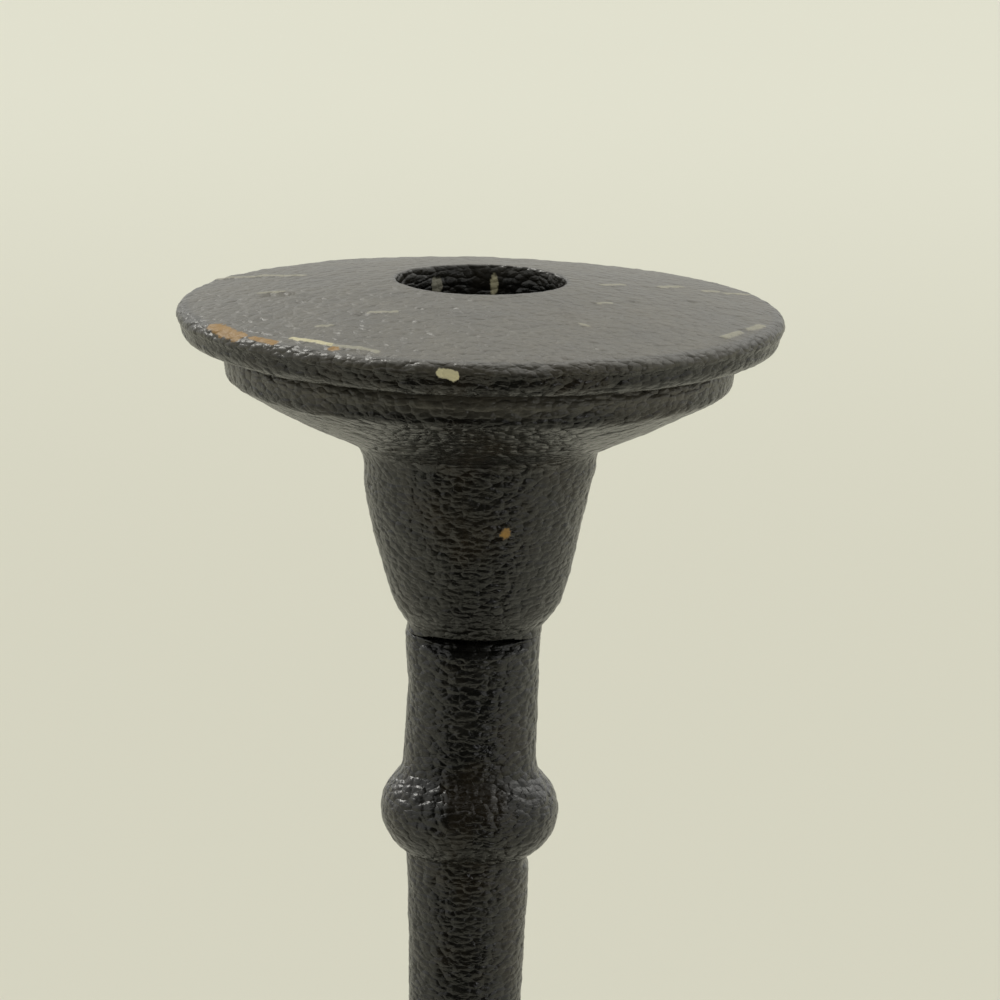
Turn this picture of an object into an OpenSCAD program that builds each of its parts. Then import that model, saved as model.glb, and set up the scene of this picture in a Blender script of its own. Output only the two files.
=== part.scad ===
// Candlestick for one taper candle: a stack of black painted castings on one tie rod.
// The axis is Z, and the origin is the middle of the felt's underside.
// Each casting has a round spigot on top, which centres the casting above it.

/* [Drip pan] */
// Outer radius of the drip pan
pan_r = 40; // [34:0.5:46]
// Fall of the pan's top from the socket to the rim
pan_fall = 3.6; // [2.5:0.1:4.5]
// Crown of the pan's top between the socket and the rim
pan_crown = 0.2; // [0:0.05:0.4]
// Height of the rim's face
rim_h = 4.5; // [3.8:0.1:6]
// Rounding of the rim's upper edge
rim_edge = 0.5; // [0.3:0.1:1]
// Rounding of the rim's lower edge
rim_round = 2.2; // [1:0.1:2.6]
// How far the rim's face leans in towards its lower edge
rim_lean = 0.9; // [0:0.1:1.4]
// Outer radius of the step under the rim
step_r = 33.1; // [30:0.1:35.5]
// Height of the step under the rim
step_h = 4.8; // [4:0.1:6]
// Rounding of the step's upper shoulder
step_round = 2.4; // [1:0.1:2.8]
// How far the step's face leans in towards its lower edge
step_lean = 0.3; // [0:0.1:0.8]

/* [Candle cup] */
// Height of the flare between the cup and the step
flare_h = 8.6; // [6.5:0.1:11]
// Bulge of the flare's outline
flare_bulge = 0.25; // [0:0.05:0.5]
// Radius of the cup where the flare meets it
cup_top_r = 15.9; // [14.6:0.1:18]
// Radius of the cup above its rounded bottom
cup_low_r = 11.6; // [10.8:0.1:13]
// Height of the cup from its foot to the flare
cup_h = 24.8; // [22:0.1:30]
// Bulge of the cup's side
cup_bulge = 0.5; // [0:0.05:0.8]
// Rounding of the cup's bottom
cup_round = 3.9; // [2:0.1:4.4]
// Radius of the foot that the cup stands on
cup_foot_r = 7.7; // [7.4:0.1:8.5]
// Height of the foot that the cup stands on
cup_foot_h = 0.5; // [0.3:0.1:1.5]

/* [Candle socket] */
// Radius of the socket that holds the candle
socket_r = 11.1; // [9.5:0.05:12]
// Depth of the socket below the pan's top
socket_depth = 27; // [20:0.5:29]
// Rounding of the socket's lip
lip_round = 1; // [0.5:0.1:1.5]

/* [Knops] */
// Height of the neck knop, between the column and the cup
neck_knop_h = 29.9; // [22:0.1:40]
// Height of the foot knop, between the base and the column
foot_knop_h = 26; // [22:0.1:36]
// Radius of a knop's neck at its ends
knop_end_r = 8.95; // [8.6:0.05:9.6]
// How far a knop's neck draws in at its middle
knop_waist = 0.3; // [0:0.05:0.6]
// Radius of the bead at its widest
bead_r = 11.85; // [11.2:0.05:13.5]
// Radius of the bead's own round section
bead_round = 6.4; // [5.8:0.1:7]
// Height of the bead's middle above the column joint
bead_mid_h = 5.3; // [4.6:0.1:5.6]
// Rounding of a knop's plain end
knop_edge = 0.5; // [0.2:0.1:1]

/* [Column] */
// Height of the column between the two knops
column_h = 91.3; // [50:0.1:160]
// Radius of the column at its ends
column_end_r = 8.2; // [7.8:0.05:8.6]
// How far the column draws in at its middle
column_waist = 0.9; // [0:0.05:1.2]
// Rounding of the column's ends
column_edge = 0.3; // [0.1:0.1:0.6]

/* [Base] */
// Outer radius of the base
base_r = 56; // [50:0.5:65]
// Height of the base's rim
base_rim_h = 5; // [4:0.1:7]
// Rounding of the base rim's upper edge
base_rim_round = 2.4; // [1:0.1:3]
// Rounding of the base rim's lower edge
base_rim_edge = 0.8; // [0.3:0.1:0.9]
// Outer radius of the step above the base's rim
base_step_r = 46.5; // [42:0.1:47.5]
// Height of the step above the base's rim
base_step_h = 4.5; // [3.6:0.1:6]
// Height of the flare from the step up to the bell
base_flare_h = 12; // [9:0.1:16]
// Hollow of the flare's outline
base_flare_dip = 1.2; // [0:0.1:1.6]
// Radius of the bell where the flare meets it
bell_low_r = 17.5; // [16:0.1:20]
// Radius of the bell below its rounded top
bell_top_r = 12.2; // [11.4:0.1:13.5]
// Height of the bell from the flare to its top
bell_h = 23; // [17:0.1:30]
// Bulge of the bell's side
bell_bulge = 0.6; // [0:0.05:0.9]
// Rounding of the bell's top
bell_round = 3; // [1.5:0.1:3.4]
// Wall of the hollow base
base_wall = 4.5; // [3.5:0.1:5.5]
// Width of the base's foot ring, from the rim's lower edge to the hollow
foot_ring_w = 9.7; // [8.5:0.1:10.5]
// Radius of the boss that the washer bears on
boss_r = 11; // [9.5:0.1:12.5]

/* [Felt] */
// Thickness of the felt ring
felt_t = 1.5; // [1:0.1:3]
// How far the felt stays inside the foot ring's edges
felt_inset = 0.6; // [0.3:0.1:1.5]

/* [Tie rod and nut] */
// Radius of the tie rod
rod_r = 4; // [3.6:0.05:4.2]
// Height of the rod's lower end above the floor
rod_lift = 3; // [2:0.1:5]
// Length of rod that shows below the nut
rod_tail = 2.4; // [1:0.1:4]
// Pitch of the rod's thread
thread_pitch = 1.25; // [1:0.05:1.5]
// Depth of the rod's thread
thread_depth = 0.65; // [0.4:0.05:0.8]
// Length of thread at each end of the rod
thread_len = 25; // [18:1:40]
// Depth of the tapped hole above the cup's recess
tapped_depth = 10; // [7:0.5:12]
// Width of the nut across its flats
nut_af = 13; // [12:0.1:15]
// Height of the nut
nut_h = 6.5; // [5:0.1:8]
// Outer radius of the plain washer
washer_r = 8; // [7:0.1:9]
// Thickness of the plain washer
washer_t = 1.6; // [1:0.1:2]
// Outer radius of the spring washer
spring_r = 7.4; // [6.6:0.1:8]
// Thickness of the spring washer
spring_t = 2; // [1.4:0.1:2.4]
// Width of the spring washer's slit
spring_slit = 1; // [0.6:0.1:1.6]

/* [Spigots and fits] */
// Radius of the spigots that centre the castings
spigot_r = 6; // [5.6:0.05:6.2]
// Height of the spigots
spigot_h = 3; // [2:0.1:4]
// Chamfer on the spigots' upper edge
spigot_chamfer = 0.5; // [0.2:0.1:0.8]
// Gap round a spigot in its recess
spigot_gap = 0.15; // [0.1:0.05:0.25]
// Gap above a spigot in its recess
spigot_top_gap = 0.3; // [0.2:0.1:0.8]
// Gap between the rod and the castings that it passes through
rod_gap = 0.5; // [0.3:0.05:0.6]
// Gap round the rod in the tapped hole, the nut and the washers
thread_gap = 0.05; // [0.03:0.01:0.1]
// Gap above the rod's upper end in the tapped hole
rod_end_gap = 0.3; // [0.2:0.1:0.8]

/* [Hidden] */

$fn = 96;

// Degrees of arc from one point of a rounded outline to the next
arc_step = 11.25;
// Number of straight stretches in a bowed outline
bow_steps = 12;
// How far a cut runs past the face that it opens
cut_over = 1;

paint_black = [0.10, 0.10, 0.09];
zinc_grey = [0.62, 0.63, 0.64];
felt_green = [0.10, 0.16, 0.12];

rod_bore_r = rod_r + rod_gap;
thread_bore_r = rod_r + thread_gap;
recess_r = spigot_r + spigot_gap;
recess_h = spigot_h + spigot_top_gap;

// Heights of the stack, from the floor up
base_h = base_rim_h + base_step_h + base_flare_h + bell_h;
foot_knop_z = felt_t + base_h;
column_z = foot_knop_z + foot_knop_h;
neck_knop_z = column_z + column_h;
head_z = neck_knop_z + neck_knop_h;
cup_top_z = cup_foot_h + cup_h;
step_low_z = cup_top_z + flare_h;
rim_low_z = step_low_z + step_h;
rim_top_z = rim_low_z + rim_h;
head_h = rim_top_z + pan_fall;

// Heights of the nut and washers under the base's boss
nut_z = rod_lift + rod_tail;
spring_z = nut_z + nut_h;
washer_z = spring_z + spring_t;
boss_face_z = washer_z + washer_t;
rod_top_z = head_z + recess_h + tapped_depth - rod_end_gap;

// Radii of the bead's section
bead_mid_r = bead_r - bead_round;
bead_low_angle = asin(bead_mid_h / bead_round);
bead_high_angle = acos((knop_end_r - bead_mid_r) / bead_round);
bead_high_h = bead_mid_h + bead_round * sin(bead_high_angle);

// Radii and slope of the hollow under the base
hollow_r = base_r - foot_ring_w;
flare_slope = base_flare_h / (base_step_r - bell_low_r);
hollow_drop = base_wall * sqrt(1 + flare_slope * flare_slope) + base_flare_dip;

// Points along a round stretch of outline, about the centre [x, y]
function arc(x, y, r, from, to) =
    let (n = ceil(abs(to - from) / arc_step))
    [for (i = [0:n]) let (a = from + (to - from) * i / n) [x + r * cos(a), y + r * sin(a)]];

// Points along a line from p to q that bows out by sag at its middle
function bow(p, q, sag) =
    let (d = q - p, side = [d.y, -d.x] / norm(d))
    [for (i = [0:bow_steps]) let (t = i / bow_steps) p + d * t + side * 4 * sag * t * (1 - t)];

// Outline of a knop from the bead's lip at the column joint to its plain end
function knop_outline(h) = concat(
    arc(bead_mid_r, bead_mid_h, bead_round, -bead_low_angle, bead_high_angle),
    bow([knop_end_r, bead_high_h], [knop_end_r, h - knop_edge], -knop_waist),
    arc(knop_end_r - knop_edge, h - knop_edge, knop_edge, 0, 90)
);

// Solid turned about the Z axis, from an outline that runs from bottom to top
module turned(outline, low, high) {
    rotate_extrude()
        polygon(concat([[0, low]], outline, [[0, high]]));
}

// Spigot on a casting's top face at height z
module spigot(z) {
    turned([
        [spigot_r, z - cut_over],
        [spigot_r, z + spigot_h - spigot_chamfer],
        [spigot_r - spigot_chamfer, z + spigot_h],
    ], z - cut_over, z + spigot_h);
}

// Recess in a casting's bottom face at height 0, with the rod's bore above it up to height z
module recess_and_bore(z) {
    translate([0, 0, -cut_over])
        cylinder(r = recess_r, h = recess_h + cut_over);
    translate([0, 0, -cut_over])
        cylinder(r = rod_bore_r, h = z + 2 * cut_over);
}

// Drip pan and candle cup, one casting that is tapped for the tie rod
module head() {
    rim_low_r = pan_r - rim_lean;
    step_low_r = step_r - step_lean;
    side_z = cup_foot_h + cup_round;
    outline = concat(
        [[cup_foot_r, 0], [cup_foot_r, cup_foot_h]],
        arc(cup_low_r - cup_round, side_z, cup_round, -90, 0),
        bow([cup_low_r, side_z], [cup_top_r, cup_top_z], cup_bulge),
        bow([cup_top_r, cup_top_z], [step_low_r, step_low_z], flare_bulge),
        arc(step_r - step_round, rim_low_z - step_round, step_round, 0, 90),
        arc(rim_low_r - rim_round, rim_low_z + rim_round, rim_round, -90, 0),
        arc(pan_r - rim_edge, rim_top_z - rim_edge, rim_edge, 0, 90),
        bow([pan_r - rim_edge, rim_top_z], [socket_r + lip_round, head_h], pan_crown)
    );
    color(paint_black)
    translate([0, 0, head_z])
    difference() {
        turned(outline, 0, head_h);
        socket();
        translate([0, 0, -cut_over])
            cylinder(r = recess_r, h = recess_h + cut_over);
        cylinder(r = thread_bore_r, h = recess_h + tapped_depth);
    }
}

// Space of the candle socket, with its rounded lip
module socket() {
    lip_z = head_h - lip_round;
    translate([0, 0, head_h - socket_depth])
        cylinder(r = socket_r, h = socket_depth + cut_over);
    turned(concat(
        [[socket_r, lip_z]],
        arc(socket_r + lip_round, lip_z, lip_round, 180, 90),
        [[socket_r + lip_round, head_h + cut_over]]
    ), lip_z, head_h + cut_over);
}

// Upper knop, bead down, under the cup
module neck_knop() {
    color(paint_black)
    translate([0, 0, neck_knop_z]) {
        difference() {
            union() {
                turned(knop_outline(neck_knop_h), 0, neck_knop_h);
                spigot(neck_knop_h);
            }
            recess_and_bore(neck_knop_h + spigot_h);
        }
    }
}

// Plain column, drawn in towards its middle
module column() {
    outline = concat(
        arc(column_end_r - column_edge, column_edge, column_edge, -90, 0),
        bow([column_end_r, column_edge], [column_end_r, column_h - column_edge], -column_waist),
        arc(column_end_r - column_edge, column_h - column_edge, column_edge, 0, 90)
    );
    color(paint_black)
    translate([0, 0, column_z])
    difference() {
        union() {
            turned(outline, 0, column_h);
            spigot(column_h);
        }
        recess_and_bore(column_h + spigot_h);
    }
}

// Lower knop, bead up, on the base's bell
module foot_knop() {
    color(paint_black)
    translate([0, 0, foot_knop_z])
    difference() {
        union() {
            translate([0, 0, foot_knop_h])
                mirror([0, 0, 1])
                    turned(knop_outline(foot_knop_h), 0, foot_knop_h);
            spigot(foot_knop_h);
        }
        recess_and_bore(foot_knop_h + spigot_h);
    }
}

// Hollow base, with a boss for the nut and a bell that carries the stack
module base() {
    step_low_z = base_rim_h;
    step_top_z = step_low_z + base_step_h;
    bell_z = step_top_z + base_flare_h;
    shoulder_z = base_h - bell_round;
    outline = concat(
        arc(base_r - base_rim_edge, base_rim_edge, base_rim_edge, -90, 0),
        arc(base_r - base_rim_round, base_rim_h - base_rim_round, base_rim_round, 0, 90),
        [[base_step_r, step_low_z]],
        bow([base_step_r, step_top_z], [bell_low_r, bell_z], -base_flare_dip),
        bow([bell_low_r, bell_z], [bell_top_r, shoulder_z], bell_bulge),
        arc(bell_top_r - bell_round, shoulder_z, bell_round, 0, 90)
    );
    color(paint_black)
    translate([0, 0, felt_t])
    difference() {
        union() {
            turned(outline, 0, base_h);
            spigot(base_h);
        }
        base_hollow(step_top_z, bell_z);
        translate([0, 0, -cut_over])
            cylinder(r = rod_bore_r, h = base_h + spigot_h + 2 * cut_over);
    }
}

// Space under the base, round the boss
module base_hollow(step_top_z, bell_z) {
    boss_z = boss_face_z - felt_t;
    roof_z = bell_z - hollow_drop;
    roof_low_z = step_top_z - hollow_drop;
    difference() {
        turned([
            [hollow_r, -cut_over],
            [hollow_r, 0],
            [hollow_r - base_wall / 2, roof_low_z],
            [bell_low_r, roof_z],
        ], -cut_over, roof_z);
        translate([0, 0, boss_z])
            cylinder(r = boss_r, h = roof_z);
    }
}

// Threaded rod that pulls the stack together, its thread drawn as plain grooves
module tie_rod() {
    rod_h = rod_top_z - rod_lift;
    thread_turns = floor(thread_len / thread_pitch);
    lower_thread = [for (i = [0:thread_turns - 1]) each groove(i * thread_pitch)];
    upper_z = rod_h - thread_turns * thread_pitch;
    upper_thread = [for (i = [0:thread_turns - 1]) each groove(upper_z + i * thread_pitch)];
    color(zinc_grey)
    translate([0, 0, rod_lift])
        turned(concat(
            lower_thread,
            [[rod_r, thread_turns * thread_pitch], [rod_r, upper_z]],
            upper_thread,
            [[rod_r - thread_depth, rod_h]]
        ), 0, rod_h);
}

// Outline of one turn of thread that starts at height z
function groove(z) = [
    [rod_r - thread_depth, z],
    [rod_r, z + thread_pitch / 2],
];

// Plain washer between the boss and the spring washer
module plain_washer() {
    color(zinc_grey)
    translate([0, 0, washer_z])
    difference() {
        cylinder(r = washer_r, h = washer_t);
        translate([0, 0, -cut_over])
            cylinder(r = thread_bore_r, h = washer_t + 2 * cut_over);
    }
}

// Split spring washer, pressed flat by the nut
module spring_washer() {
    color(zinc_grey)
    translate([0, 0, spring_z])
    difference() {
        cylinder(r = spring_r, h = spring_t);
        translate([0, 0, -cut_over])
            cylinder(r = thread_bore_r, h = spring_t + 2 * cut_over);
        translate([0, -spring_slit / 2, -cut_over])
            cube([spring_r + cut_over, spring_slit, spring_t + 2 * cut_over]);
    }
}

// Hexagon nut with both faces chamfered
module hex_nut() {
    corner_r = nut_af / sqrt(3);
    chamfer_h = (corner_r - nut_af / 2) * tan(30);
    color(zinc_grey)
    translate([0, 0, nut_z])
    difference() {
        intersection() {
            cylinder(r = corner_r, h = nut_h, $fn = 6);
            turned([
                [nut_af / 2, 0],
                [corner_r, chamfer_h],
                [corner_r, nut_h - chamfer_h],
                [nut_af / 2, nut_h],
            ], 0, nut_h);
        }
        translate([0, 0, -cut_over])
            cylinder(r = thread_bore_r, h = nut_h + 2 * cut_over);
    }
}

// Felt ring glued under the base's foot ring
module felt_ring() {
    color(felt_green)
    difference() {
        cylinder(r = base_r - base_rim_edge - felt_inset, h = felt_t);
        translate([0, 0, -cut_over])
            cylinder(r = hollow_r + felt_inset, h = felt_t + 2 * cut_over);
    }
}

head();
neck_knop();
column();
foot_knop();
base();
tie_rod();
plain_washer();
spring_washer();
hex_nut();
felt_ring();
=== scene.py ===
"""Finished look of a black painted cast-iron candlestick, built round its CAD frame.

Outlines are in millimetres, as on the pattern maker's drawing, and become metres when a mesh is
made. Azimuths are in degrees from the front, positive to the right.
"""

import logging
import math
from dataclasses import dataclass, field
from enum import Enum

import bpy
import numpy as np
from mathutils import Matrix, Vector


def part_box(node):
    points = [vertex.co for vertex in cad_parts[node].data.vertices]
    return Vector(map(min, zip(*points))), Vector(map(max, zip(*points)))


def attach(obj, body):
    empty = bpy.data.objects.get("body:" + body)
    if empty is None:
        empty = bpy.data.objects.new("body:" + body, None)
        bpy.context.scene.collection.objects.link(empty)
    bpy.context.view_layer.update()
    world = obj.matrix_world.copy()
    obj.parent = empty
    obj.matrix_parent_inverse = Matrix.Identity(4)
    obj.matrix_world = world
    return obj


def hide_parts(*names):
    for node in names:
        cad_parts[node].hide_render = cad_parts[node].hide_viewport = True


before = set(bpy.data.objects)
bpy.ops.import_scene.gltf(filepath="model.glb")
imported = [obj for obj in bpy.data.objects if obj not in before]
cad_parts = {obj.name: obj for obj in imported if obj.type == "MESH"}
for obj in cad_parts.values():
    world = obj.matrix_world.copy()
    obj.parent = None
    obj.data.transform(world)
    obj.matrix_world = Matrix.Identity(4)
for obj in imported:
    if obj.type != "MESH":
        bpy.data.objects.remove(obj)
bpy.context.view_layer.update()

MM = 0.001
BODY = "root"
log = logging.getLogger("candlestick")


class Slot(Enum):
    """Material slots that the record names."""

    IRON = "painted_iron"
    STEEL = "zinc_steel"
    FELT = "felt"


class End(Enum):
    """Which way a knop's bead points."""

    DOWN = 1
    UP = -1


class Tint(Enum):
    """What shows where the paint is knocked through, by its place in the attribute of wear and glints; the pale one is
    partly a painted glint on raised ridges.
    """

    PRIMER = 0
    RUST = 1
    # Pale grey on raised ridges and specks, partly dust and partly a painted glint.
    PALE_AND_GLINT = 2


def linear(code: str, alpha: float = 1.0) -> tuple[float, float, float, float]:
    """Turns an sRGB hex colour into linear values.

    Args:
        code: Colour such as "#1c1b18".
        alpha: Opacity to add as the fourth value.

    Returns:
        Linear red, green and blue, and the opacity.
    """
    parts = [int(code[i:i + 2], 16) / 255 for i in (1, 3, 5)]
    values = [c / 12.92 if c <= 0.04045 else ((c + 0.055) / 1.055) ** 2.4 for c in parts]
    return (*values, alpha)


def add(tree: bpy.types.NodeTree, kind: str, inputs: dict | None = None, **settings) -> bpy.types.Node:
    """Adds a node to a tree, with its settings and what its inputs hold or are linked to.

    Args:
        tree: Node tree that gets the node.
        kind: Blender's name of the node's type.
        inputs: Input name or number, and the value or the output socket that goes there.
        **settings: Properties of the node.

    Returns:
        The new node.
    """
    node = tree.nodes.new(kind)
    for name, value in settings.items():
        setattr(node, name, value)
    for key, value in (inputs or {}).items():
        if isinstance(value, bpy.types.NodeSocket):
            tree.links.new(value, node.inputs[key])
        else:
            node.inputs[key].default_value = value
    return node


def polar(radius: float, azimuth: float, height: float) -> Vector:
    """Place of a radius, an azimuth in degrees and a height, as x, y and z."""
    a = math.radians(azimuth)
    return Vector((radius * math.sin(a), -radius * math.cos(a), height))


def places_of(mesh: bpy.types.Mesh) -> np.ndarray:
    """Vertex places of a mesh, in metres."""
    places = np.empty(len(mesh.vertices) * 3)
    mesh.vertices.foreach_get("co", places)
    return places.reshape(-1, 3)


def signed_volume(mesh: bpy.types.Mesh) -> float:
    """Volume inside a closed mesh, negative where its faces point inwards."""
    mesh.calc_loop_triangles()
    corners = np.empty(len(mesh.loop_triangles) * 3, np.int32)
    mesh.loop_triangles.foreach_get("vertices", corners)
    a, b, c = places_of(mesh)[corners].reshape(-1, 3, 3).transpose(1, 0, 2)
    return float(np.einsum("ij,ij->", a, np.cross(b, c))) / 6


class Outline:
    """Half outline of a turned piece, in millimetres, sampled as it is drawn.

    Each point has its radius and its height, and beside them how rough the casting is there and
    how much dust lies on it; on the head's step shoulder that dust is partly a painted highlight.
    """

    def __init__(self, radius: float, height: float) -> None:
        """Starts the outline at a point."""
        self.points: list[tuple[float, float]] = [(radius, height)]
        self.skin: list[tuple[float, float]] = [(0.0, 0.0)]

    def _walk(self, points: list[tuple[float, float]], rough: float, dust_and_highlight: float) -> "Outline":
        """Adds sampled points that share one skin."""
        self.points += points
        self.skin += [(rough, dust_and_highlight)] * len(points)
        return self

    def line(self, radius: float, height: float, step: float = 0.5, rough: float = 1.0,
             dust_and_highlight: float = 0.0) -> "Outline":
        """Draws a straight stretch to a point, with samples about a step apart."""
        return self.bow(radius, height, 0.0, step, rough, dust_and_highlight)

    def bow(self, radius: float, height: float, sag: float, step: float = 0.5, rough: float = 1.0,
            dust_and_highlight: float = 0.0) -> "Outline":
        """Draws a stretch to a point that bows to its right-hand side.

        Args:
            radius: Radius at the far end.
            height: Height at the far end.
            sag: How far the middle stands off the straight line.
            step: Distance from sample to sample.
            rough: Share of the casting's unevenness along the stretch.
            dust_and_highlight: How much dust lies along the stretch; on the head's step shoulder it is partly a painted
                highlight.

        Returns:
            The outline itself, so that stretches follow each other.
        """
        p, q = np.array(self.points[-1]), np.array((radius, height))
        d = q - p
        side = np.array((d[1], -d[0])) / np.linalg.norm(d)
        n = max(1, round(float(np.linalg.norm(d)) / step))
        t = np.linspace(0, 1, n + 1)[1:, None]
        return self._walk([tuple(a) for a in p + d * t + side * 4 * sag * t * (1 - t)], rough, dust_and_highlight)

    def arc(self, x: float, z: float, radius: float, start: float, end: float, step: float = 0.4,
            rough: float = 1.0, dust_and_highlight: float = 0.0) -> "Outline":
        """Draws a round stretch about a centre.

        Args:
            x: Radius of the centre.
            z: Height of the centre.
            radius: Radius of the round.
            start: Angle in degrees where the round starts.
            end: Angle in degrees where it ends.
            step: Distance from sample to sample.
            rough: Share of the casting's unevenness along the stretch.
            dust_and_highlight: How much dust lies along the stretch; on the head's step shoulder it is partly a painted
                highlight.

        Returns:
            The outline itself.
        """
        n = max(3, round(radius * math.radians(abs(end - start)) / step))
        angles = np.radians(np.linspace(start, end, n + 1))
        return self._walk([(x + radius * math.cos(a), z + radius * math.sin(a)) for a in angles], rough, dust_and_highlight)

    def follow(self, other: "Outline") -> "Outline":
        """Goes on along another outline."""
        self.points += other.points
        self.skin += other.skin
        return self

    def flipped(self, height: float) -> "Outline":
        """The same outline upside down, between the floor and a height."""
        other = Outline(0, 0)
        other.points = [(r, height - z) for r, z in reversed(self.points)]
        other.skin = list(reversed(self.skin))
        return other

    def lifted(self, height: float) -> "Outline":
        """The same outline, higher up."""
        self.points = [(r, z + height) for r, z in self.points]
        return self


@dataclass(frozen=True)
class Relief:
    """Unevenness of a piece's surface, in millimetres: swells, ripples and grain."""

    lump: float = 0.20
    lump_size: float = 12.0
    ripple: float = 0.16
    ripple_size: float = 3.2
    grain: float = 0.13
    grain_size: float = 1.5
    flatness: float = 1.9
    seed: float = 3.0


@dataclass(frozen=True)
class Dent:
    """A local hollow in a surface, or a swelling where its depth is negative, in millimetres."""

    radius: float
    azimuth: float
    height: float
    around: float
    up: float
    across: float
    depth: float
    power: float = 1.0

    def press(self, places: np.ndarray, normals: np.ndarray) -> np.ndarray:
        """Moves the vertices that the dent reaches.

        Args:
            places: Vertex places in millimetres.
            normals: Outward normals.

        Returns:
            The new places.
        """
        angle = np.arctan2(places[:, 0], -places[:, 1])
        radius = np.hypot(places[:, 0], places[:, 1])
        turn = (angle - math.radians(self.azimuth) + math.pi) % (2 * math.pi) - math.pi
        spread = (turn * self.radius / self.around) ** 2
        spread += ((places[:, 2] - self.height) / self.up) ** 2
        spread += ((radius - self.radius) / self.across) ** 2
        return places - normals * (self.depth * np.exp(-spread ** self.power))[:, None]


@dataclass(frozen=True)
class Scar:
    """A scratch, pit, chip or stain along a line between two places, in millimetres.

    Each place is a radius, an azimuth and a height. The scar stands up by its rise, or goes in
    where that is negative, and shows its tint where it has one.
    """

    start: tuple[float, float, float]
    end: tuple[float, float, float]
    width: float
    rise: float = 0.0
    tint: Tint | None = None
    strength: float = 1.0

    def reach(self, places: np.ndarray) -> np.ndarray:
        """How strongly the scar shows at each place, from 0 to 1."""
        a, b = (np.array(polar(*place)) for place in (self.start, self.end))
        line = b - a
        along = np.clip((places - a) @ line / max(float(line @ line), 1e-9), 0, 1)
        apart = np.linalg.norm(places - a - along[:, None] * line, axis=1)
        return np.clip(1 - (apart / self.width) ** 2, 0, 1)


@dataclass(frozen=True)
class Section:
    """How an outline is turned: its columns, and a thread or flats where the piece has them."""

    columns: int
    relief: Relief | None = None
    flats: float = 0.0
    pitch: float = 0.0
    thread: float = 0.0


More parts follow.
